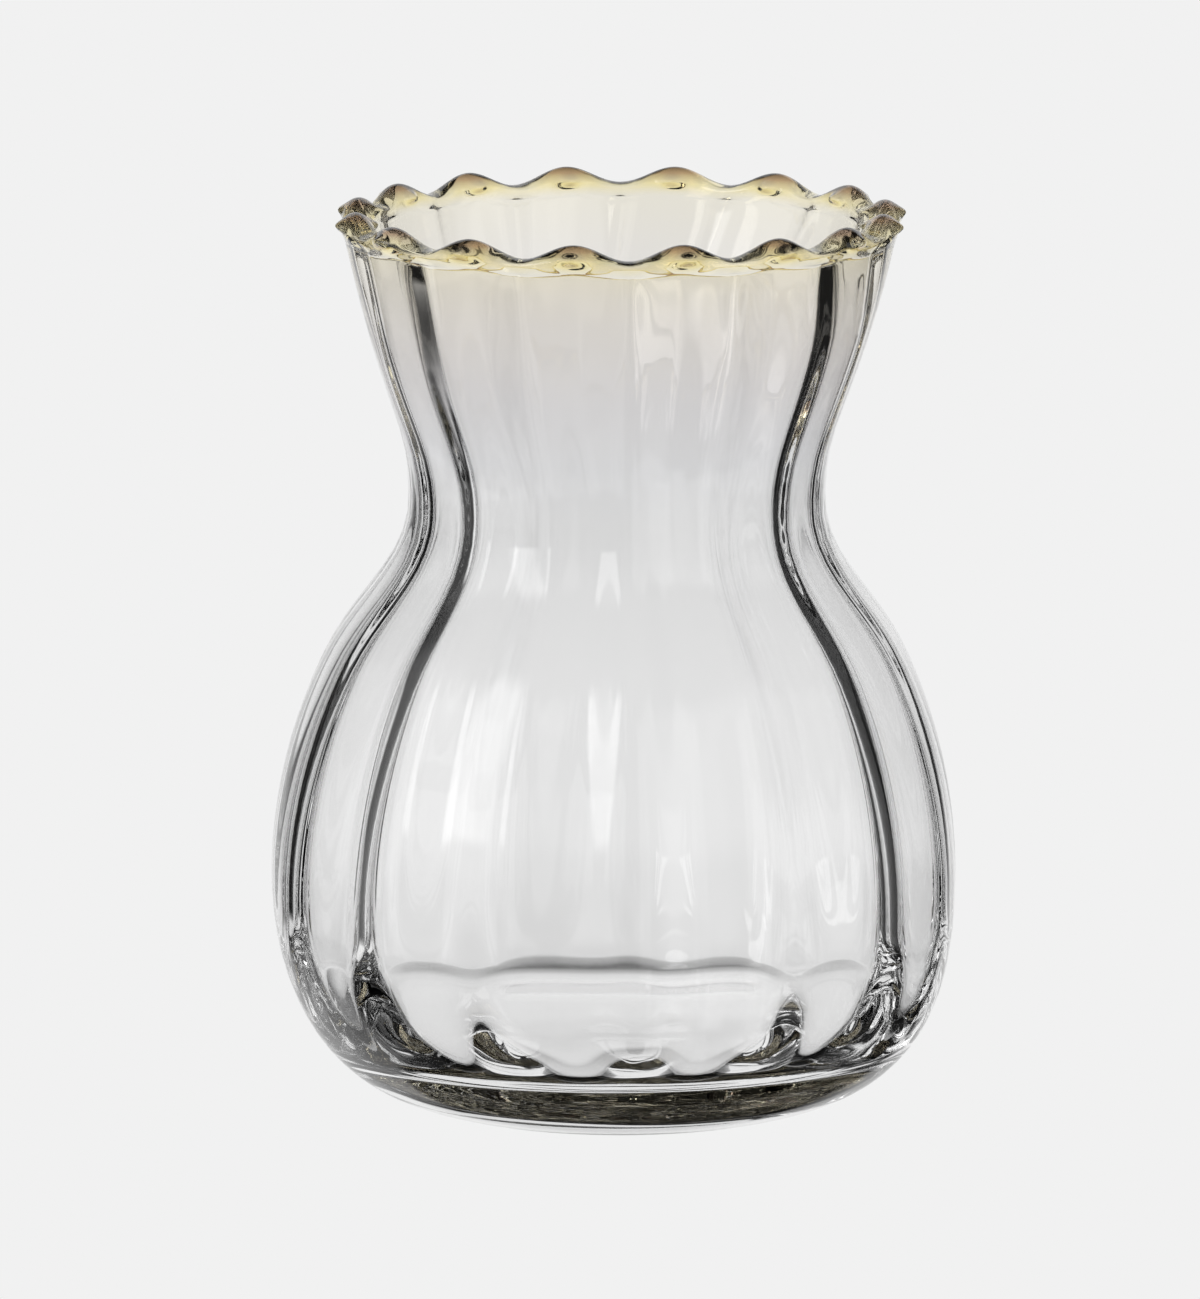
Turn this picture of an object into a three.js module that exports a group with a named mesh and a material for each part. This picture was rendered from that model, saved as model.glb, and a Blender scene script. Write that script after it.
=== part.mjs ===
// A clear glass vase: a full belly on a thick base, a drawn-in waist and a flared mouth with a scalloped lip.
// Sixteen lobes run up its wall, with a crease between each two. The lobes are thick and the creases thin: the
// outside is nearly smooth, and the inside has a groove at each crease. Sizes are millimetres. The vase stands
// on Z = 0 with its axis on Z, and one crease faces the front, along -Y.
//
// The glass is made in four named pieces that meet face to face on level rings: the thick base, the blown
// belly, the flared neck and the fire-polished lip.

import * as THREE from 'three';

// Lobes
const lobeCount = 16;
const facetsPerLobe = 6;
const outerCrease = 0.6; // how far the outside is drawn in at each crease
const innerGroove = 1.3; // how deep the inside is grooved at each crease
const creaseFade = 16; // height over which the outer creases grow from nothing at the foot
const grooveFade = 10; // height over which the inner grooves grow from nothing at the inner floor

// Outside, from the foot up
const footRadius = 39;
const footRingWidth = 8;
const underHollow = 1.4; // rise of the hollow inside the foot ring
const footLean = THREE.MathUtils.degToRad(3); // upward slope of the underside where it leaves the foot ring
const footReach = 15.5; // how far the outline holds to a slope or an upright line beside each named point
const bellyRadius = 68.8;
const bellyHeight = 44.5;
const bellyReachDown = 30.5;
const bellyReachUp = 21;
const shoulderRadius = 57.7;
const shoulderHeight = 91;
const shoulderLean = THREE.MathUtils.degToRad(27); // inward lean from upright
const shoulderReachDown = 9.6;
const shoulderReachUp = 13.3;
const waistRadius = 41.6;
const waistHeight = 121.7;
const waistReachDown = 12.7;
const waistReachUp = 16.2;
const mouthRadius = 56;
const mouthHeight = 178.4; // mean height of the lip
const mouthLean = THREE.MathUtils.degToRad(12.3); // outward lean from upright
const mouthReachDown = 39.7;

// Glass
const wallThickness = 3.7; // on the lobes
const baseThickness = 12; // from the rest plane to the inner floor
const floorRadius = 50; // where the level inner floor starts to turn up
const cornerRise = 25; // height over the inner floor where the wall has its even thickness
const cornerRoundness = 0.35; // how full the inner corner is: 0 is a straight slope, 0.55 near a quarter round

// Lip
const beadSwell = 0.1; // how far the round bead stands out from the wall on each side
const scallopHeight = 1.6; // rise at each lobe and fall at each crease, from the mean height
const scallopFlare = 0.4; // how far the lip leans out at each lobe

// Levels of the three joints: the inner floor, the narrowest part of the waist, and below the lip
const lipJointDrop = 6.5; // under the mean height of the lip
const baseJoint = baseThickness;
const neckJoint = waistHeight;
const lipJoint = mouthHeight - lipJointDrop;

// How finely the outlines are stepped
const curveSteps = 6;
const cornerSteps = 7;
const hollowRings = 3;
const beadRings = 7;
const leastStep = 0.5;

// A curve in the half plane (radius, height) that leaves `from` along the angle `heading` and arrives at `to`
// along `arrival`. Angles are measured from level and outward. The reaches say how long it holds to each.
function bend(from, heading, reach, to, arrival, arrivalReach) {
  const leave = new THREE.Vector2(Math.cos(heading), Math.sin(heading)).multiplyScalar(reach);
  const arrive = new THREE.Vector2(Math.cos(arrival), Math.sin(arrival)).multiplyScalar(arrivalReach);
  return new THREE.CubicBezierCurve(from, from.clone().add(leave), to.clone().sub(arrive), to);
}

// The outside of the glass, from the edge of the foot ring to the lip.
function outerCurves() {
  const upright = Math.PI / 2;
  const foot = new THREE.Vector2(footRadius, 0);
  const belly = new THREE.Vector2(bellyRadius, bellyHeight);
  const shoulder = new THREE.Vector2(shoulderRadius, shoulderHeight);
  const waist = new THREE.Vector2(waistRadius, waistHeight);
  const mouth = new THREE.Vector2(mouthRadius, mouthHeight);
  return [
    bend(foot, footLean, footReach, belly, upright, bellyReachDown),
    bend(belly, upright, bellyReachUp, shoulder, upright + shoulderLean, shoulderReachDown),
    bend(shoulder, upright + shoulderLean, shoulderReachUp, waist, upright, waistReachDown),
    bend(waist, upright, waistReachUp, mouth, upright - mouthLean, mouthReachDown),
  ];
}

// The points of one curve, moved towards the axis by `inset`, square to the curve.
function curvePoints(curve, inset) {
  return curve.getPoints(curveSteps).map((point, i) => {
    const along = curve.getTangent(i / curveSteps);
    return point.add(new THREE.Vector2(-along.y, along.x).multiplyScalar(inset));
  });
}

// The point where a line that climbs all the way passes a height.
function pointAt(line, height) {
  const next = Math.max(1, line.findIndex((p) => p.y >= height));
  const [below, above] = [line[next - 1], line[next]];
  const point = below.clone().lerp(above, (height - below.y) / (above.y - below.y));
  return point.setY(height);
}

// The stretch of such a line between two heights, both ends included.
function between(line, low, high) {
  const inside = line.filter((p) => p.y > low + leastStep && p.y < high - leastStep);
  return [pointAt(line, low), ...inside, pointAt(line, high)];
}

// The inside of the glass: the outside moved in by the wall thickness, and rounded onto the floor below.
function innerLine(side) {
  const floorEdge = new THREE.Vector2(floorRadius, baseThickness);
  const start = pointAt(side, baseThickness + cornerRise);
  const upper = side.filter((p) => p.y > start.y + leastStep);
  const heading = upper[0].clone().sub(start).angle();
  const across = (start.x - floorRadius) * cornerRoundness;
  const corner = bend(floorEdge, 0, across, start, heading, cornerRise * cornerRoundness);
  return [...corner.getPoints(cornerSteps), ...upper];
}

const curves = outerCurves();
const outer = curves.flatMap((curve, i) => curvePoints(curve, 0).slice(i ? 1 : 0));
const inner = innerLine(curves.flatMap((curve, i) => curvePoints(curve, wallThickness).slice(i ? 1 : 0)));

// One ring of a piece: its radius and height on a lobe, how far it draws in at a crease (a groove draws out, and
// is negative), and how far it rises and leans with the scallops.
const ring = (point, crease = 0, rise = 0, flare = 0) => ({ point, crease, rise, flare });
const outerRing = (point) => ring(point, outerCrease * THREE.MathUtils.smoothstep(point.y, 0, creaseFade));
const grooveStart = (height) => THREE.MathUtils.smoothstep(height, baseThickness, baseThickness + grooveFade);
const innerRing = (point) => ring(point, -innerGroove * grooveStart(point.y));

// Turns rings into one closed body. At each angle a ring is drawn in by the crease there, which is a sharp
// fold between two round lobes, and lifted and flared by a cosine wave that crests on the lobes.
function turn(rings) {
  const sides = lobeCount * facetsPerLobe;
  const geometry = new THREE.LatheGeometry(rings.map((r) => r.point), sides);
  const position = geometry.attributes.position;
  for (let i = 0; i < position.count; i++) {
    const { point, crease, rise, flare } = rings[i % rings.length];
    const angle = (2 * Math.PI * Math.floor(i / rings.length)) / sides;
    const fold = 1 - Math.abs(Math.sin((lobeCount * angle) / 2));
    const wave = -Math.cos(lobeCount * angle);
    const radius = point.x - crease * fold + flare * Math.max(wave, 0);
    position.setXYZ(i, radius * Math.sin(angle), point.y + rise * wave, radius * Math.cos(angle));
  }
  geometry.rotateX(Math.PI / 2);
  geometry.computeVertexNormals();
  return geometry;
}

// The thick base: hollow underneath inside a flat foot ring, and level on top, where the inner floor is.
function baseGeometry() {
  const hollowRadius = footRadius - footRingWidth;
  const hollow = [];
  for (let i = 0; i <= hollowRings; i++) {
    const share = i / hollowRings;
    hollow.push(ring(new THREE.Vector2(hollowRadius * share, underHollow * (1 - share * share))));
  }
  const heel = between(outer, 0, baseJoint).map(outerRing);
  const floorCentre = ring(new THREE.Vector2(0, baseJoint));
  return turn([...hollow, ...heel, floorCentre]);
}

// The blown wall between two levels.
function wallGeometry(low, high) {
  const outside = between(outer, low, high).map(outerRing);
  const inside = between(inner, low, high).reverse().map(innerRing);
  return turn([...outside, ...inside, outside[0]]);
}

// The lip: the wall's end melted to a round bead that rises over each lobe and dips at each crease.
function lipGeometry() {
  const outside = outerRing(pointAt(outer, lipJoint));
  const inside = innerRing(pointAt(inner, lipJoint));
  const beadCrease = (outside.crease + inside.crease) / 2;
  const beadRadius = wallThickness / 2 + beadSwell;
  const beadCentre = new THREE.Vector2(mouthRadius - wallThickness / 2, mouthHeight - beadRadius);
  const undercut = THREE.MathUtils.degToRad(30); // how far the bead's round runs on below its widest level
  const bead = [];
  for (let i = 0; i < beadRings; i++) {
    const angle = -undercut + ((Math.PI + 2 * undercut) * i) / (beadRings - 1);
    const offset = new THREE.Vector2(Math.cos(angle), Math.sin(angle)).multiplyScalar(beadRadius);
    bead.push(ring(beadCentre.clone().add(offset), beadCrease, scallopHeight, scallopFlare));
  }
  return turn([outside, ...bead, inside, outside]);
}

function piece(name, geometry, glass) {
  const mesh = new THREE.Mesh(geometry, glass);
  mesh.name = name;
  return mesh;
}

const clearGlass = new THREE.MeshStandardMaterial({
  color: 0xe6e7e8,
  roughness: 0.02,
  metalness: 0,
  transparent: true,
  opacity: 0.35,
});
const amberGlass = new THREE.MeshStandardMaterial({
  color: 0xe9e2a6,
  roughness: 0.02,
  metalness: 0,
  transparent: true,
  opacity: 0.5,
});

const vase = new THREE.Group();
vase.name = 'ribbed_vase';
vase.add(
  piece('base_pad', baseGeometry(), clearGlass),
  piece('belly_wall', wallGeometry(baseJoint, neckJoint), clearGlass),
  piece('neck_wall', wallGeometry(neckJoint, lipJoint), clearGlass),
  piece('scalloped_lip', lipGeometry(), amberGlass),
);

export default vase;
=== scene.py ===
# %% [markdown]
# # A ribbed glass vase
#
# The real vase is one vessel of clear glass, blown in a ribbed mould: a thick base, a full belly, a drawn-in
# waist and a flared mouth with a scalloped lip. Glass has almost no look of its own. What the eye sees is the
# bright studio behind it, bent by the outside and the inside of the wall, and the dark edges of that studio
# gathered in narrow bands beside the creases. So most of this script is about two things: the exact shape of
# the two surfaces of the glass, and what stands round the vase in the studio.
#
# The vase's sizes are in millimetres until its points go into the mesh. The studio's angles are in degrees.

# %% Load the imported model
import math

import bpy
import numpy as np
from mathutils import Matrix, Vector


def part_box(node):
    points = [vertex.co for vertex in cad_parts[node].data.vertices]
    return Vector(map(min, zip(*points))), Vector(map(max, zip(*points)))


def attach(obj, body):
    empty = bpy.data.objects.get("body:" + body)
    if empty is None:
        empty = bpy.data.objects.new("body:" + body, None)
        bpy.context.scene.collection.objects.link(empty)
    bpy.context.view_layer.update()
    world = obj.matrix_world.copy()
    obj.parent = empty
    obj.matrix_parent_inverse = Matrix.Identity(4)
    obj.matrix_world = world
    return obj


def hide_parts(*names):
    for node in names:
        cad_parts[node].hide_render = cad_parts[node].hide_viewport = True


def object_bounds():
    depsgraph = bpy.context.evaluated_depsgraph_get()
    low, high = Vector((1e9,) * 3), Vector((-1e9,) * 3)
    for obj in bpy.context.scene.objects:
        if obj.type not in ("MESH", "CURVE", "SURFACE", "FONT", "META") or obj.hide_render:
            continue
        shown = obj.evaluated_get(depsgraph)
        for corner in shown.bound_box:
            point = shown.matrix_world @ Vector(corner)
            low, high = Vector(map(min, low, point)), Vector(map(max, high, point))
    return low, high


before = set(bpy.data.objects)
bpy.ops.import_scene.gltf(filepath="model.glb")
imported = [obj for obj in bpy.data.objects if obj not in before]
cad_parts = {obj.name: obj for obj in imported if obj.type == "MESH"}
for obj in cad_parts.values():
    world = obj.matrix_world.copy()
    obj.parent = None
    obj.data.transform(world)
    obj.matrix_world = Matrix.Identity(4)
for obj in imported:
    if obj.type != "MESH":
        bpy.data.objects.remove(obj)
cad_low, cad_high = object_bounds()
neck_low, neck_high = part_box("neck_wall")
MM = 0.001

print("nodes:", sorted(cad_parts))
print("size, mm:", [round((b - a) / MM, 1) for a, b in zip(cad_low, cad_high)])
print("neck, mm:", round(neck_low.z / MM, 1), "to", round(neck_high.z / MM, 1))

# %% [markdown]
# ## Small helpers
#
# Colours are written as the sRGB hex values that a screen shows, and one function turns them linear for the
# renderer. One function adds a shader node with its settings and links. Two more make the smooth steps by
# which sizes change with the height.


# %% Colours, nodes and smooth steps
def linear(hex_colour):
    """sRGB hex to linear RGBA: below 0.04045 a straight line, above it the 2.4 power curve."""
    channels = np.array([int(hex_colour[i : i + 2], 16) for i in (1, 3, 5)]) / 255
    curve = np.where(channels <= 0.04045, channels / 12.92, ((channels + 0.055) / 1.055) ** 2.4)
    return (*curve.tolist(), 1.0)


def add_node(tree, kind, settings=None, inputs=None):
    """Adds a node. Settings are its properties. Inputs are numbers, colours, or sockets to link them to."""
    node = tree.nodes.new(kind)
    for name, value in (settings or {}).items():
        setattr(node, name, value)
    for name, value in (inputs or {}).items():
        if isinstance(value, bpy.types.NodeSocket):
            tree.links.new(value, node.inputs[name])
        else:
            node.inputs[name].default_value = value
    return node


def smooth_step(value, low, high):
    """0 up to low, 1 from high on, and between them the curve 3t^2 - 2t^3."""
    t = np.clip((np.asarray(value, float) - low) / (high - low), 0, 1)
    return t * t * (3 - 2 * t)


def by_level(height, levels, values):
    """A value for each height: the given values at the given levels, with a smooth step between each two."""
    result = np.full(np.shape(height), float(values[0]))
    for low, high, start, end in zip(levels, levels[1:], values, values[1:]):
        result = np.where(height >= low, start + (end - start) * smooth_step(height, low, high), result)
    return result


# %% [markdown]
# ## The camera
#
# The photograph looks down on the vase a little: the two rim ellipses give a tilt of about eleven degrees.
# A long lens from two metres away keeps the sides nearly parallel, as in a catalogue picture. The lens is
# worked out from one measured value, how many pixels a millimetre takes at the vase's axis.

# %% Camera
PHOTO_WIDTH = 1200
PHOTO_HEIGHT = 1299
PIXELS_PER_MM = 4.991
AXIS_PIXEL = 617  # where the vase's axis falls across the picture
CAMERA_TILT = math.radians(11.13)
CAMERA_DISTANCE = 2.0  # metres
CLIP_START = 0.05
CLIP_END = 50.0
AIM_HEIGHT = 90 * MM  # the level that falls on the middle of the picture

camera_data = bpy.data.cameras.new("photo_camera")
camera_data.sensor_fit = "AUTO"
focal_pixels = PIXELS_PER_MM * CAMERA_DISTANCE / MM
camera_data.lens = focal_pixels / PHOTO_HEIGHT * camera_data.sensor_width
camera_data.shift_x = (PHOTO_WIDTH / 2 - AXIS_PIXEL) / PHOTO_HEIGHT
camera_data.clip_start = CLIP_START
camera_data.clip_end = CLIP_END
camera = bpy.data.objects.new("photo_camera", camera_data)
bpy.context.collection.objects.link(camera)
towards_camera = Vector((0, -math.cos(CAMERA_TILT), math.sin(CAMERA_TILT)))
camera.location = Vector((0, 0, AIM_HEIGHT)) + towards_camera * CAMERA_DISTANCE
camera.rotation_euler = (-towards_camera).to_track_quat("-Z", "Y").to_euler()
bpy.context.scene.camera = camera
print("lens, mm:", round(camera_data.lens, 1))

# %% [markdown]
# ## The outline of the vase
#
# The outside is a curve in the half plane of radius and height. Four cubic curves join at the foot, the
# belly, the shoulder, the waist and the mouth, and share a direction where they meet, so the wall is smooth.
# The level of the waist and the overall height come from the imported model. A reach says how long the outline
# holds to its direction beside a named point.

# %% Outside of the wall
UPRIGHT = math.pi / 2
FOOT_RADIUS = 39.0
FOOT_LEAN = math.radians(3)  # upward slope of the underside where it leaves the foot ring
FOOT_REACH = 15.5
BELLY_RADIUS = 68.8
BELLY_HEIGHT = 44.5
BELLY_REACH_DOWN = 30.5
BELLY_REACH_UP = 21.0
SHOULDER_RADIUS = 57.7
SHOULDER_HEIGHT = 91.0
SHOULDER_LEAN = math.radians(27)  # inwards from upright
SHOULDER_REACH_DOWN = 9.6
SHOULDER_REACH_UP = 13.3
WAIST_RADIUS = 41.6
WAIST_HEIGHT = neck_low.z / MM
WAIST_REACH_DOWN = 12.7
WAIST_REACH_UP = 16.2
SCALLOP_HEIGHT = 1.6  # rise of the rim on a lobe and fall at a crease, from its mean height
MOUTH_RADIUS = 56.0
MOUTH_HEIGHT = cad_high.z / MM - SCALLOP_HEIGHT
MOUTH_LEAN = math.radians(12.3)  # outwards from upright
MOUTH_REACH_DOWN = 39.7
CURVE_POINTS = 200


def bend(start, heading, reach, end, arrival, arrival_reach):
    """Cubic curve that leaves start along one angle and arrives at end along another. With s = 1 - t it is
    s^3 start + 3 s^2 t leave + 3 s t^2 arrive + t^3 end."""
    leave = np.add(start, [reach * math.cos(heading), reach * math.sin(heading)])
    arrive = np.subtract(end, [arrival_reach * math.cos(arrival), arrival_reach * math.sin(arrival)])
    t = np.linspace(0, 1, CURVE_POINTS)[:, None]
    s = 1 - t
    return s**3 * start + 3 * s * s * t * leave + 3 * s * t * t * arrive + t**3 * np.array(end)


FOOT = np.array([FOOT_RADIUS, 0.0])
BELLY = np.array([BELLY_RADIUS, BELLY_HEIGHT])
SHOULDER = np.array([SHOULDER_RADIUS, SHOULDER_HEIGHT])
WAIST = np.array([WAIST_RADIUS, WAIST_HEIGHT])
MOUTH = np.array([MOUTH_RADIUS, MOUTH_HEIGHT])
shoulder_heading = UPRIGHT + SHOULDER_LEAN
mouth_heading = UPRIGHT - MOUTH_LEAN
outside_line = np.vstack(
    [
        bend(FOOT, FOOT_LEAN, FOOT_REACH, BELLY, UPRIGHT, BELLY_REACH_DOWN),
        bend(BELLY, UPRIGHT, BELLY_REACH_UP, SHOULDER, shoulder_heading, SHOULDER_REACH_DOWN)[1:],
        bend(SHOULDER, shoulder_heading, SHOULDER_REACH_UP, WAIST, UPRIGHT, WAIST_REACH_DOWN)[1:],
        bend(WAIST, UPRIGHT, WAIST_REACH_UP, MOUTH, mouth_heading, MOUTH_REACH_DOWN)[1:],
    ]
)
print("outline points:", len(outside_line))

# %% [markdown]
# ## The inside of the wall
#
# Blown glass has a nearly even wall, so the inside is the outside moved inwards, square to the curve. Below,
# it rounds onto the inner floor of the thick base. That rounding bends the light behind the vase into the
# bright pool in the base, so its reach and fullness matter more than they seem to.

# %% Inside of the wall
WALL_LEVELS = (45.0, WAIST_HEIGHT, 172.0)  # on the belly, at the waist and under the lip
WALL_THICKNESS = (3.5, 4.2, 5.0)
BASE_THICKNESS = 14.8  # to the edge of the inner floor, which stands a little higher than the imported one
FLOOR_RADIUS = 52.0
FLOOR_RISE = -1.2  # how much higher the inner floor is in the middle: below 0 it is a shallow dish
CORNER_RISE = 21.0  # height over the inner floor where the wall has its full shape
CORNER_ROUNDNESS = 0.26  # 0 is a straight slope, 0.55 near a quarter round


def inset(line, distance):
    """The line moved towards the axis, square to itself."""
    along = np.gradient(line, axis=0)
    along /= np.linalg.norm(along, axis=1)[:, None]
    square = np.stack([-along[:, 1], along[:, 0]], axis=1)
    return line + square * distance[:, None]


wall_here = by_level(outside_line[:, 1], WALL_LEVELS, WALL_THICKNESS)
offset_line = inset(outside_line, wall_here)
offset_line = offset_line[offset_line[:, 1] > BASE_THICKNESS + CORNER_RISE]
corner_end = offset_line[0]
corner_heading = math.atan2(*(offset_line[1] - corner_end)[::-1])
corner = bend(
    np.array([FLOOR_RADIUS, BASE_THICKNESS]),
    0.0,
    (corner_end[0] - FLOOR_RADIUS) * CORNER_ROUNDNESS,
    corner_end,
    corner_heading,
    CORNER_RISE * CORNER_ROUNDNESS,
)
inside_line = np.vstack([corner, offset_line[1:]])
print("inner radius at the corner's end, mm:", round(corner_end[0], 1))

# %% [markdown]
# ## Rings from the foot to the lip and back
#
# One closed skin follows the glass all the way: from the middle of the underside out over the foot ring, up
# the outside, round the bead of the lip, down the inside and in to the middle of the inner floor. It has to
# be one skin. If the base, the wall and the lip were separate closed solids, light would reflect at the
# joints between them, and the render would show cuts that melted glass doesn't have.

# %% Steps along an outline
CLOSER_BELOW = 1.5  # how much more densely the rings stand at the foot than in the wall
CLOSER_UP_TO = 30.0  # the height where that ends


def even_steps(line, count, closer_below, low, high):
    """Points at even steps along a line between two heights, closer together near the bottom where asked."""
    line = line[(line[:, 1] >= low) & (line[:, 1] <= high)]
    length = np.linalg.norm(np.diff(line, axis=0), axis=1)
    middle = 0.5 * (line[1:, 1] + line[:-1, 1])
    length = length * (1 + closer_below * (1 - smooth_step(middle, 0, CLOSER_UP_TO)))
    travelled = np.concatenate([[0], np.cumsum(length)])
    wanted = np.linspace(0, travelled[-1], count)
    return np.stack([np.interp(wanted, travelled, line[:, k]) for k in (0, 1)], axis=1)


# %% Rings
UNDER_RINGS = 8
OUTSIDE_RINGS = 56
LIP_RINGS = 9
BEAD_RINGS = 24
INSIDE_RINGS = 46
FLOOR_RINGS = 8
UNDER_HOLLOW = 1.4  # rise of the hollow inside the foot ring
FOOT_RING_WIDTH = 8.0
LIP_START = 4.8  # how far under the rim the wall begins to swell to the lip
BEAD_HALF_HEIGHT = 2.1  # how high the half round is that closes the rim, from its base

wall_top = MOUTH_HEIGHT - LIP_START
bead_base = MOUTH_HEIGHT - BEAD_HALF_HEIGHT
hollow_share = np.linspace(0, 1, UNDER_RINGS)
hollow_radius = FOOT_RADIUS - FOOT_RING_WIDTH
under = np.stack([hollow_radius * hollow_share, UNDER_HOLLOW * (1 - hollow_share**2)], axis=1)
outside = even_steps(outside_line, OUTSIDE_RINGS, CLOSER_BELOW, 0.0, wall_top)
outside_lip = even_steps(outside_line, LIP_RINGS, 0.0, wall_top, bead_base)[1:]
inside = even_steps(inside_line, INSIDE_RINGS, CLOSER_BELOW, 0.0, wall_top)
inside_lip = even_steps(inside_line, LIP_RINGS, 0.0, wall_top, bead_base)[1:]
bead_angle = np.linspace(0, math.pi, BEAD_RINGS + 2)[1:-1]
bead_middle = (outside_lip[-1, 0] + inside_lip[-1, 0]) / 2
bead_half = (outside_lip[-1, 0] - inside_lip[-1, 0]) / 2
bead = np.stack([bead_middle + bead_half * np.cos(bead_angle), np.full(BEAD_RINGS, bead_base)], axis=1)
floor_share = np.linspace(1, 0, FLOOR_RINGS)[1:]
dish = BASE_THICKNESS + FLOOR_RISE * (1 - floor_share**2)
floor = np.stack([FLOOR_RADIUS * floor_share, dish], axis=1)
print("thickness under the lip, mm:", round(2 * bead_half, 1))

# %% [markdown]
# Beside its radius and height, each ring carries two shares. Its facing is 1 on the outside of the glass,
# -1 on the inside, and turns from one to the other round the bead. Its lift is how far up the bead it
# stands, from 0 to 1. The bead is still flat here, and rises when the lip is shaped.

# %% The skin in order
going_up = [under, outside, outside_lip]
coming_down = [inside_lip[::-1], inside[::-1], floor]
rings = np.vstack([*going_up, bead, *coming_down])
ring_radius = rings[:, 0]
ring_height = rings[:, 1]
up_count = sum(len(part) for part in going_up)
down_count = sum(len(part) for part in coming_down)
facing = np.concatenate([np.ones(up_count), np.cos(bead_angle), -np.ones(down_count)])
lift = np.concatenate([np.zeros(up_count), np.sin(bead_angle), np.zeros(down_count)])
print("rings:", len(rings))

# %% [markdown]
# ## Lobes and creases
#
# This is optic glass. The hot bubble is pressed in a ribbed mould and then blown against a smooth one, so the
# outside ends nearly smooth and the ribs move to the inside: the lobes are thick and the creases thin. Each
# surface gets its own fold, which is full at a crease and falls off to nothing in the middle of a lobe. How
# deep it is changes with the height. A positive depth draws the surface in, and a negative one cuts a groove
# into the inside.

# %% Creases
LOBES = 16
CREASE_LEVELS = (45.0, 90.0, WAIST_HEIGHT, 150.0, 172.0)
OUTER_CREASE = (0.0, 0.0, 0.0, 0.2, 0.9)
INNER_CREASE = (-1.8, -2.2, -1.3, -1.2, -0.6)
GROOVE_FADE = 9.5  # height over which the grooves grow from nothing at the inner floor
SHAPE_LEVELS = (100.0, 140.0)
OUTER_POWER = (5.3, 5.6)  # the higher the power, the narrower the crease
INNER_POWER = (2.0, 1.6)
OUTER_ROUNDING = (0.06, 0.13)  # half width of a crease's rounded bottom, as a share of half a lobe
INNER_ROUNDING = (0.7, 0.5)


def fold(angle, power, rounding):
    """1 at a crease and 0 in the middle of a lobe: (1 - s) to a power, where s is the distance from the
    crease, 0 to 1, rounded off close to it as the square root of s^2 + w^2."""
    turns = angle * LOBES / (2 * math.pi)
    share = np.abs(turns - np.round(turns)) * 2
    full = np.hypot(1, rounding) - rounding
    eased = (np.hypot(share, rounding) - rounding) / full
    return np.clip(1 - eased, 0, None) ** power


outer_depth = by_level(ring_height, CREASE_LEVELS, OUTER_CREASE) * np.clip(facing, 0, 1)
groove_start = smooth_step(ring_height, BASE_THICKNESS, BASE_THICKNESS + GROOVE_FADE)
inner_depth = by_level(ring_height, CREASE_LEVELS, INNER_CREASE) * np.clip(-facing, 0, 1) * groove_start
print("deepest crease and groove, mm:", round(outer_depth.max(), 2), round(-inner_depth.min(), 2))

# %% [markdown]
# ## The hand in the glass
#
# No blown vase is perfectly even. The lobes aren't equally wide, they turn a little on the way up, and the
# axis wanders by a few tenths of a millimetre. These are written as slow waves round the vase and steps with
# height, so the wall stays smooth.

# %% Unevenness
BODY_TURN = (3.7, -1.0)  # degrees: a constant, then a sine wave once round the vase
FLARE_TURN = (2.2, 2.5)
LIP_TURN = (-0.3, -1.6, 0.9, 1.4, 1.2)  # a constant, then sine and cosine once round, then twice round
FLARE_FULL = 150.0  # the level where the body's turn has become the flare's
LIP_TURN_START = 155.0
LIP_TURN_FULL = 176.0
DRIFT_LEVELS = (0.0, 44.0, WAIST_HEIGHT, 178.0)
DRIFT = (0.6, -0.7, 0.0, 0.7)  # how far the axis stands to the right


def uneven(angle, height):
    """Turn of the lobes, in radians: a constant and slow sine waves round the vase, blended by height
    between the body, the flare and the lip."""
    body = BODY_TURN[0] + BODY_TURN[1] * np.sin(angle)
    flare = FLARE_TURN[0] + FLARE_TURN[1] * np.sin(angle)
    lip = LIP_TURN[0] + LIP_TURN[1] * np.sin(angle) + LIP_TURN[2] * np.cos(angle)
    lip = lip + LIP_TURN[3] * np.sin(2 * angle) + LIP_TURN[4] * np.cos(2 * angle)
    to_flare = smooth_step(height, WAIST_HEIGHT, FLARE_FULL)
    to_lip = smooth_step(height, LIP_TURN_START, LIP_TURN_FULL)
    return np.radians(body * (1 - to_flare) + flare * (to_flare - to_lip) + lip * to_lip)


# %% Columns
COLUMNS_PER_LOBE = 40
CROWDING = -0.25  # below 0 the columns stand closer on the lobes, where the drops are, than at the creases

columns = LOBES * COLUMNS_PER_LOBE
step = np.arange(columns) / COLUMNS_PER_LOBE
angle = (step - CROWDING * np.sin(2 * math.pi * step) / (2 * math.pi)) * 2 * math.pi / LOBES
angle = angle[None, :]
height = ring_height[:, None]
outer_power = by_level(height, SHAPE_LEVELS, OUTER_POWER)
outer_rounding = by_level(height, SHAPE_LEVELS, OUTER_ROUNDING)
inner_power = by_level(height, SHAPE_LEVELS, INNER_POWER)
inner_rounding = by_level(height, SHAPE_LEVELS, INNER_ROUNDING)
outer_fold = outer_depth[:, None] * fold(angle, outer_power, outer_rounding)
inner_fold = inner_depth[:, None] * fold(angle, inner_power, inner_rounding)
print("columns:", columns)

# %% [markdown]
# ## The scalloped lip
#
# The rim was cut, then melted in the flame until it drew up. It rises over each lobe and dips at each crease.
# The wall swells a little below the rim, a half round closes it, and on each lobe, which brings the most
# glass, a drop has gathered. The drop is a smooth bump on both sides, and works as a small strong lens: it is
# bright in the middle with a dark outline, under the dark line of the rim.

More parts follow.
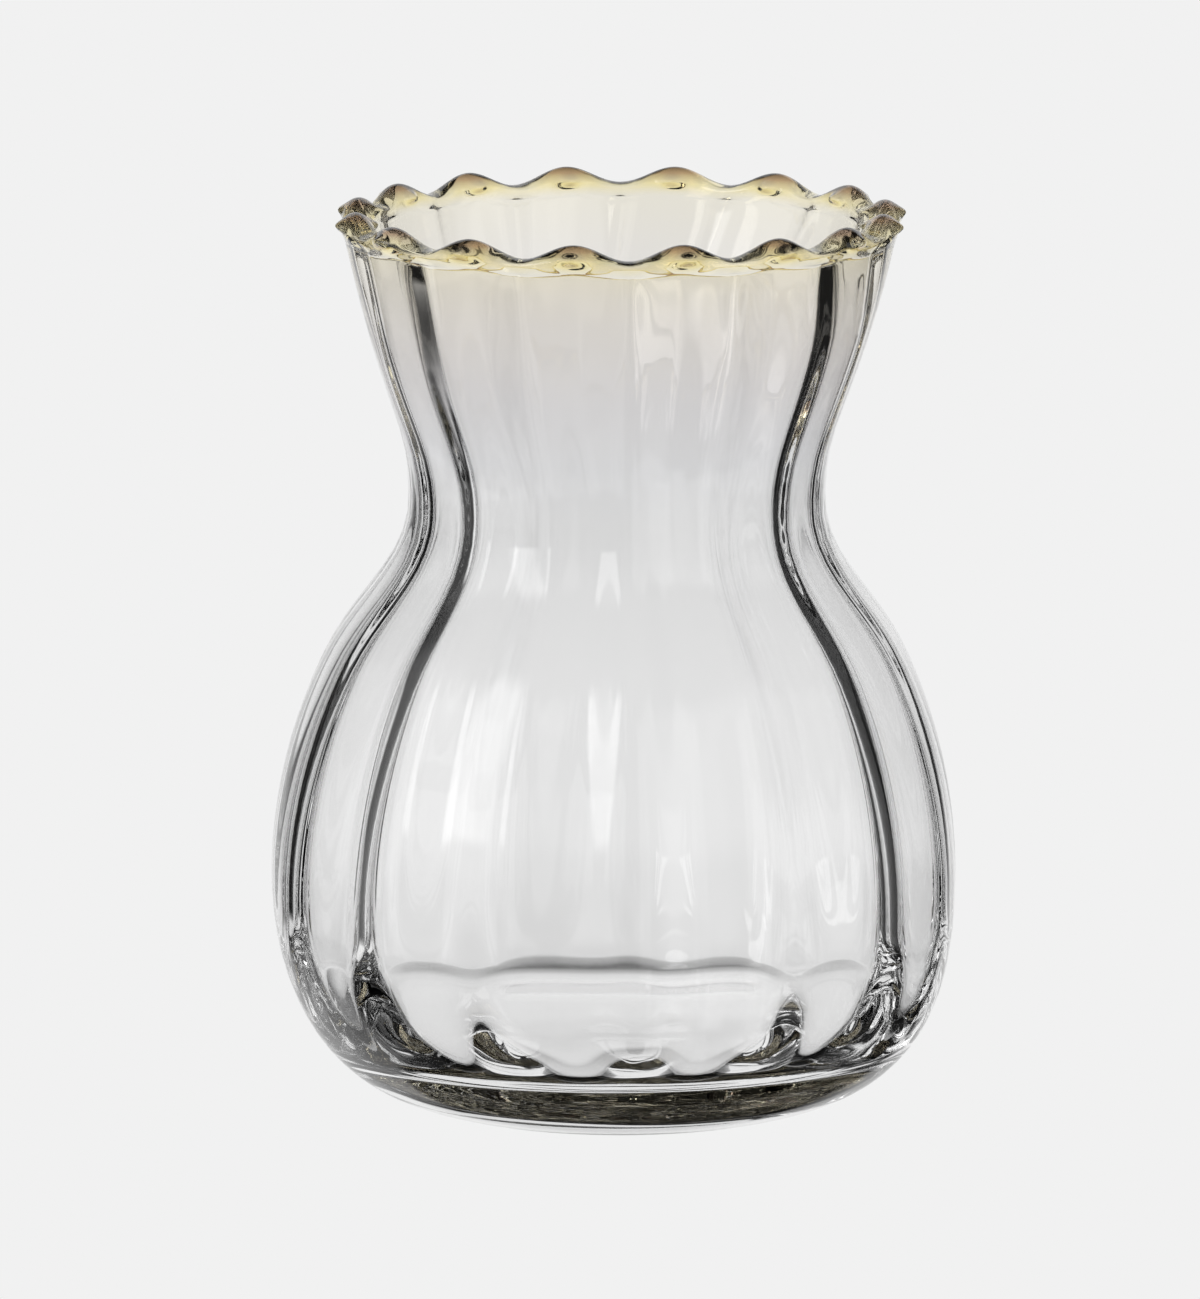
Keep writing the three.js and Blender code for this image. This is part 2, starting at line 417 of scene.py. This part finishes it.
# %% Lip
SCALLOP_FLARE = 0.35  # how far the lip leans out on a lobe, and in at a crease
LIP_ONSET = 1.4  # height over which the wall swells to the lip
LIP_SWELL = 0.2  # how far the lip stands out from the wall on each side
BEAD_DEEPER = 1.1  # how much higher the half round is on a lobe, and lower at a crease
DROP_SWELL = 3.4  # thickness of a drop, both sides together
DROP_OUTSIDE = 0.45  # the outside's share of it
DROP_WIDTH = 0.22  # half width of a drop, as a share of half a lobe
DROP_DEPTH = 2.4  # how far under the rim its middle is
DROP_TALL = 1.3  # half its height

wave = -np.cos(LOBES * angle)
from_lobe = np.abs(np.mod(angle * LOBES / (2 * math.pi), 1) - 0.5) * 2
lip_weight = smooth_step(ring_height, wall_top, bead_base)[:, None]
onset = smooth_step(ring_height, wall_top, wall_top + LIP_ONSET)[:, None]
deeper = BEAD_DEEPER * wave
level = height + lip_weight * (SCALLOP_HEIGHT * wave - deeper) + lift[:, None] * (BEAD_HALF_HEIGHT + deeper)
depth = MOUTH_HEIGHT + SCALLOP_HEIGHT * wave - level
drop = np.exp(-((from_lobe / DROP_WIDTH) ** 2) - ((depth - DROP_DEPTH) / DROP_TALL) ** 2)
drop_share = np.where(facing > 0, DROP_OUTSIDE, 1 - DROP_OUTSIDE)[:, None]
swell = onset * (LIP_SWELL + DROP_SWELL * drop_share * drop)
print("most swelling on one side, mm:", round(float(swell.max()), 1))

# %% [markdown]
# Now everything comes together. The radius of a point is its ring's, less the folds, plus the lean of the
# scallops and the swelling of the lip. Its angle is its column's, with the uneven turn added.

# %% Points
radius = ring_radius[:, None] - (outer_fold + inner_fold) * (1 - lip_weight)
radius = radius + SCALLOP_FLARE * lip_weight * wave + facing[:, None] * swell
turned = angle + uneven(angle, height)
aside = by_level(ring_height, DRIFT_LEVELS, DRIFT)[:, None]
points = np.stack([radius * np.sin(turned) + aside, -radius * np.cos(turned), level], axis=2) * MM
print("widest lip, mm:", round(2 * float(radius[up_count : up_count + BEAD_RINGS].max()), 1))

# %% [markdown]
# ## From the grid to one closed mesh
#
# Each ring joins the next with a band of four-sided faces. The first and the last ring have no radius, so
# they become single points, and a fan of triangles closes the skin there. The mesh takes whole arrays,
# because a loop over its four hundred thousand corners in Python would be slow.


# %% Mesh
def closed_skin(name, grid):
    """Mesh of a grid of rings by columns, whose first and last rings shrink to one point each. Corner k of
    ring r is vertex r * around + k, and the two single points come last."""
    first = grid[0].mean(axis=0)
    last = grid[-1].mean(axis=0)
    body = grid[1:-1]
    count, around = body.shape[:2]
    here = np.arange(around)
    there = (here + 1) % around
    ring_start = np.arange(count - 1)[:, None] * around
    low = ring_start + here
    beside = ring_start + there
    quads = np.stack([low, beside, beside + around, low + around], axis=2).reshape(-1, 4)
    start = count * around
    end = start + 1
    top = start - around
    first_fan = np.stack([np.full(around, start), there, here], axis=1)
    last_fan = np.stack([np.full(around, end), top + here, top + there], axis=1)
    fans = np.vstack([first_fan, last_fan])
    corners = np.concatenate([quads.ravel(), fans.ravel()]).astype(np.int32)
    starts = np.concatenate([np.arange(len(quads)) * 4, quads.size + np.arange(len(fans)) * 3])
    mesh = bpy.data.meshes.new(name)
    mesh.vertices.add(count * around + 2)
    mesh.vertices.foreach_set("co", np.vstack([body.reshape(-1, 3), first, last]).ravel())
    mesh.loops.add(len(corners))
    mesh.loops.foreach_set("vertex_index", corners)
    mesh.polygons.add(len(starts))
    mesh.polygons.foreach_set("loop_start", starts.astype(np.int32))
    mesh.polygons.foreach_set("use_smooth", np.ones(len(starts), bool))
    mesh.update(calc_edges=True)
    mesh.validate()
    piece = bpy.data.objects.new(name, mesh)
    bpy.context.collection.objects.link(piece)
    return piece


glass = closed_skin("blown_glass", points)
glass.data.calc_loop_triangles()
print("triangles:", len(glass.data.loop_triangles))

# %% [markdown]
# ## Soda-lime glass, blown and fire-polished
#
# The vase is ordinary soda-lime glass with an index of 1.5. Fire leaves it perfectly smooth, so it has no
# roughness. It isn't quite colourless: the waist is faintly smoke-grey and the flare turns warm. Under the rim
# the colour goes amber, a painted yellow glint, and on the crests dark brown, painted shade for the dark
# outline that the bead draws by bending the light. That colour follows the height, so it is a ramp on Object
# coordinates.

# %% Glass material
GLASS_IOR = 1.5
TINTS_WITH_PAINTED_RIM_GLINT_AND_SHADE = (
    (95.0, "#FFFFFF"),  # colourless up to the shoulder
    (122.0, "#F8F8F8"),  # faintly grey at the waist
    (134.0, "#F4F4F5"),
    (150.0, "#F5F3F2"),  # the flare turns warm
    (164.0, "#F7F4EE"),
    (174.5, "#FAF6E9"),
    # Painted glint: the amber under the rim stands in for the yellow glints of the lip.
    (177.0, "#FDEEAC"),  # amber under the rim
    (179.0, "#9A7656"),
    # Painted shade: the dark brown on the crests stands in for the dark outline that the bead draws by bending
    # the light.
    (180.0, "#402A24"),  # brown on the crests
)


def blown_glass_material():
    """Transmitting glass whose colour is a ramp over the height: clear, smoke-grey, warm, then painted light
    at
    the rim: an amber glint under it and brown shade on the crests.
    """
    material = bpy.data.materials.new("soda_lime_glass_blown")
    material.use_nodes = True
    tree = material.node_tree
    tree.nodes.clear()
    lowest = TINTS_WITH_PAINTED_RIM_GLINT_AND_SHADE[0][0]
    highest = TINTS_WITH_PAINTED_RIM_GLINT_AND_SHADE[-1][0]
    place = add_node(tree, "ShaderNodeTexCoord")
    axes = add_node(tree, "ShaderNodeSeparateXYZ", inputs={0: place.outputs["Object"]})
    span = {"Value": axes.outputs["Z"], "From Min": lowest * MM, "From Max": highest * MM}
    share = add_node(tree, "ShaderNodeMapRange", inputs=span)
    ramp = add_node(tree, "ShaderNodeValToRGB", inputs={0: share.outputs[0]})
    stops = ramp.color_ramp.elements
    while len(stops) < len(TINTS_WITH_PAINTED_RIM_GLINT_AND_SHADE):
        stops.new(0.5)
    for stop, (tint_level, colour) in zip(stops, TINTS_WITH_PAINTED_RIM_GLINT_AND_SHADE):
        stop.position = (tint_level - lowest) / (highest - lowest)
        stop.color = linear(colour)
    clear = {"Roughness": 0.0, "IOR": GLASS_IOR, "Transmission Weight": 1.0}
    clear["Base Color"] = ramp.outputs["Color"]
    surface = add_node(tree, "ShaderNodeBsdfPrincipled", inputs=clear)
    add_node(tree, "ShaderNodeOutputMaterial", inputs={"Surface": surface.outputs["BSDF"]})
    return material


glass.data.materials.append(blown_glass_material())
print("material:", glass.data.materials[0].name, "with", len(TINTS_WITH_PAINTED_RIM_GLINT_AND_SHADE), "tints")

# %% [markdown]
# ## The studio
#
# Glass shows what stands round it. Here that is a world in which the light depends on the direction alone:
# on the azimuth, in degrees from straight behind the vase (+Y) towards its right (+X), and on the elevation,
# in degrees over the horizon. The studio is built up from soft edges. An upright panel has four of them.

# %% Directions
world = bpy.data.worlds.new("studio")
world.use_nodes = True
bpy.context.scene.world = world
sky = world.node_tree
sky.nodes.clear()

direction = add_node(sky, "ShaderNodeTexCoord").outputs["Generated"]
parts = add_node(sky, "ShaderNodeSeparateXYZ", inputs={0: direction}).outputs
turn = add_node(sky, "ShaderNodeMath", {"operation": "ARCTAN2"}, {0: parts["X"], 1: parts["Y"]}).outputs[0]
azimuth = add_node(sky, "ShaderNodeMath", {"operation": "DEGREES"}, {0: turn}).outputs[0]
climb = add_node(sky, "ShaderNodeMath", {"operation": "ARCSINE"}, {0: parts["Z"]}).outputs[0]
elevation = add_node(sky, "ShaderNodeMath", {"operation": "DEGREES"}, {0: climb}).outputs[0]
print("nodes for the two angles:", len(sky.nodes))

# %% Soft edges and panels
FOOT_BLUR = 2.0  # of a panel's lower edge
TOP_BLUR = 5.0  # of its upper edge


def soft_edge(angle, place, blur, before, after):
    """The tone before an edge, the tone after it, and between the place less the blur and the place plus
    the blur a smooth step from one to the other. The tones are numbers or sockets."""
    span = {"Value": angle, "From Min": place - blur, "From Max": place + blur}
    tones = {"To Min": before, "To Max": after}
    smooth = {"interpolation_type": "SMOOTHSTEP"}
    return add_node(sky, "ShaderNodeMapRange", smooth, {**span, **tones}).outputs[0]


def panel(light, turn, half_width, blur, foot, top, tone):
    """The light with an upright panel in front of it. The panel's tone shows up to its half width from its
    turn, and from its foot to its top. The angle from its turn is the azimuth less the turn, without its
    sign and wrapped at half a circle."""
    away = add_node(sky, "ShaderNodeMath", {"operation": "SUBTRACT"}, {0: azimuth, 1: turn}).outputs[0]
    away = add_node(sky, "ShaderNodeMath", {"operation": "WRAP"}, {0: away, 1: 180.0, 2: -180.0}).outputs[0]
    away = add_node(sky, "ShaderNodeMath", {"operation": "ABSOLUTE"}, {0: away}).outputs[0]
    across = soft_edge(away, half_width, blur, tone, light)
    under_top = soft_edge(elevation, top, TOP_BLUR, across, light)
    return soft_edge(elevation, foot, FOOT_BLUR, light, under_top)


# %% [markdown]
# ## Table, flags and ceiling
#
# The vase stands over a black table, between black flags and under a black ceiling. Rays that the glass bends
# strongly end there, and draw the dark bands beside the creases and in the base. A little light comes from
# straight above. Tones are linear light, where the backdrop has 0.88.

# %% Dark surroundings
UNDER_EDGE = -50.0
UNDER_BLUR = 5.0
UNDER_TONE = 0.003
TABLE_EDGE = -33.0
TABLE_BLUR = 2.0
TABLE_TONE = 0.013
FLAG_TONE = 0.012
CEILING_EDGE = 39.0
CEILING_BLUR = 5.0
CEILING_TONE = 0.01
OVERHEAD_EDGE = 85.0
OVERHEAD_BLUR = 6.0
OVERHEAD_TONE = 0.1

table = soft_edge(elevation, UNDER_EDGE, UNDER_BLUR, UNDER_TONE, TABLE_TONE)
flags = soft_edge(elevation, CEILING_EDGE, CEILING_BLUR, FLAG_TONE, CEILING_TONE)
light = soft_edge(elevation, TABLE_EDGE, TABLE_BLUR, table, flags)
light = soft_edge(elevation, OVERHEAD_EDGE, OVERHEAD_BLUR, light, OVERHEAD_TONE)
print("flags, degrees of elevation:", TABLE_EDGE, "to", CEILING_EDGE)

# %% [markdown]
# ## The window of paper
#
# Behind the vase stands a bright window of paper with the tone of the backdrop. Rays that the glass bends
# only a little end on it, and the belly stays clear. Low down the paper is a little darker, and it fades out
# at its foot. The base bends that part of it into the pool of light over the inner floor.

# %% Window
BACKDROP = "#F1F1F1"
PAPER_TONE = linear(BACKDROP)[0]
WINDOW_TURN = -1.0
WINDOW_HALF = 28.0
WINDOW_SOFTNESS = 3.5
SHADE_EDGE = -18.0
SHADE_BLUR = 7.0
PAPER_SHADE = 0.89  # how bright the paper still is below that edge
PAPER_FOOT = -42.0
FADE_EDGE = -36.5
FADE_BLUR = 5.5
FOOT_SHADE = 0.3  # how bright it still is at its foot

paper = soft_edge(elevation, SHADE_EDGE, SHADE_BLUR, PAPER_TONE * PAPER_SHADE, PAPER_TONE)
paper = soft_edge(elevation, FADE_EDGE, FADE_BLUR, PAPER_TONE * FOOT_SHADE, paper)
light = panel(light, WINDOW_TURN, WINDOW_HALF, WINDOW_SOFTNESS, PAPER_FOOT, CEILING_EDGE, paper)
print("window, degrees of azimuth:", WINDOW_TURN - WINDOW_HALF, "to", WINDOW_TURN + WINDOW_HALF)

# %% [markdown]
# ## Panels for the other views, and lights in front
#
# Seen from another side, the vase would have a black flag behind it. So three more panels, as bright as the
# window, stand opposite a view from the right side, a view from behind and a view from higher up. They keep
# to directions that matter little in the photograph's view. A softbox and a strip in front give the glass
# its soft upright highlights.

# %% Panels and lights
# Foot and top are elevations. A softbox and a strip are brighter than paper, whose tone is under 1.
PANELS = {
    "side": dict(turn=-100.5, half_width=24.5, blur=4.0, foot=-22.0, top=CEILING_EDGE, tone=PAPER_TONE),
    "back": dict(turn=135.0, half_width=28.0, blur=4.0, foot=TABLE_EDGE, top=CEILING_EDGE, tone=PAPER_TONE),
    "low": dict(turn=-45.0, half_width=22.0, blur=4.0, foot=-46.0, top=-20.0, tone=PAPER_TONE),
    "softbox": dict(turn=-128.0, half_width=8.0, blur=3.0, foot=8.0, top=45.0, tone=3.0),
    "strip": dict(turn=144.0, half_width=4.0, blur=2.0, foot=-38.0, top=30.0, tone=1.2),
}

for place in PANELS.values():
    light = panel(light, **place)
print("panels and lights:", ", ".join(PANELS))

# %% [markdown]
# ## Past the vase
#
# A camera that looks past the vase sees only the plain pale backdrop. The studio is for the rays that the
# glass has bent or reflected.

# %% Backdrop
studio = add_node(sky, "ShaderNodeBackground", inputs={"Color": linear("#FFFFFF"), "Strength": light})
plain = add_node(sky, "ShaderNodeBackground", inputs={"Color": linear(BACKDROP), "Strength": 1.0})
seen = add_node(sky, "ShaderNodeLightPath").outputs["Is Camera Ray"]
choice = {0: seen, 1: studio.outputs[0], 2: plain.outputs[0]}
mixed = add_node(sky, "ShaderNodeMixShader", inputs=choice)
add_node(sky, "ShaderNodeOutputWorld", inputs={"Surface": mixed.outputs[0]})
print("studio nodes:", len(sky.nodes))

# %% [markdown]
# ## The floor
#
# The floor is the same pale tone as the backdrop, so no horizon shows. It glows by itself instead of being
# lit, because a sheet that is lit from below is how glass is photographed without a shadow. Only the camera
# sees it. The rays that come through the glass see the studio's table instead.

# %% Floor
FLOOR_HALF = 1.5  # metres

floor_mesh = bpy.data.meshes.new("pale_floor")
floor_corners = [(-FLOOR_HALF, -FLOOR_HALF, 0), (FLOOR_HALF, -FLOOR_HALF, 0)]
floor_corners += [(FLOOR_HALF, FLOOR_HALF, 0), (-FLOOR_HALF, FLOOR_HALF, 0)]
floor_mesh.from_pydata(floor_corners, [], [(0, 1, 2, 3)])
pale_floor = bpy.data.objects.new("pale_floor", floor_mesh)
bpy.context.collection.objects.link(pale_floor)
floor_material = bpy.data.materials.new("matt_paper_lit_from_below")
floor_material.use_nodes = True
floor_tree = floor_material.node_tree
floor_tree.nodes.clear()
glow = add_node(floor_tree, "ShaderNodeEmission", inputs={"Color": linear(BACKDROP), "Strength": 1.0})
add_node(floor_tree, "ShaderNodeOutputMaterial", inputs={"Surface": glow.outputs[0]})
floor_mesh.materials.append(floor_material)
pale_floor.visible_transmission = False
pale_floor.visible_glossy = False
pale_floor.visible_diffuse = False
pale_floor.visible_shadow = False
print("floor, m:", 2 * FLOOR_HALF, "square")

# %% [markdown]
# ## How the light is traced
#
# A ray crosses at least four surfaces on its way through the vase, and many more where the base or the lip
# holds it, so the number of bounces is raised well above the default.

# %% Light paths
BOUNCES = 32

scene = bpy.context.scene
scene.cycles.max_bounces = BOUNCES
scene.cycles.transmission_bounces = BOUNCES
scene.cycles.glossy_bounces = BOUNCES
scene.cycles.transparent_max_bounces = BOUNCES
scene.cycles.use_denoising = True
scene.view_settings.view_transform = "Standard"
print("bounces:", BOUNCES)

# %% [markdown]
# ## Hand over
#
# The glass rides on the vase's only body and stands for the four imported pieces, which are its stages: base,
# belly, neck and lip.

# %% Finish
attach(glass, "root")
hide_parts("base_pad", "belly_wall", "neck_wall", "scalloped_lip")
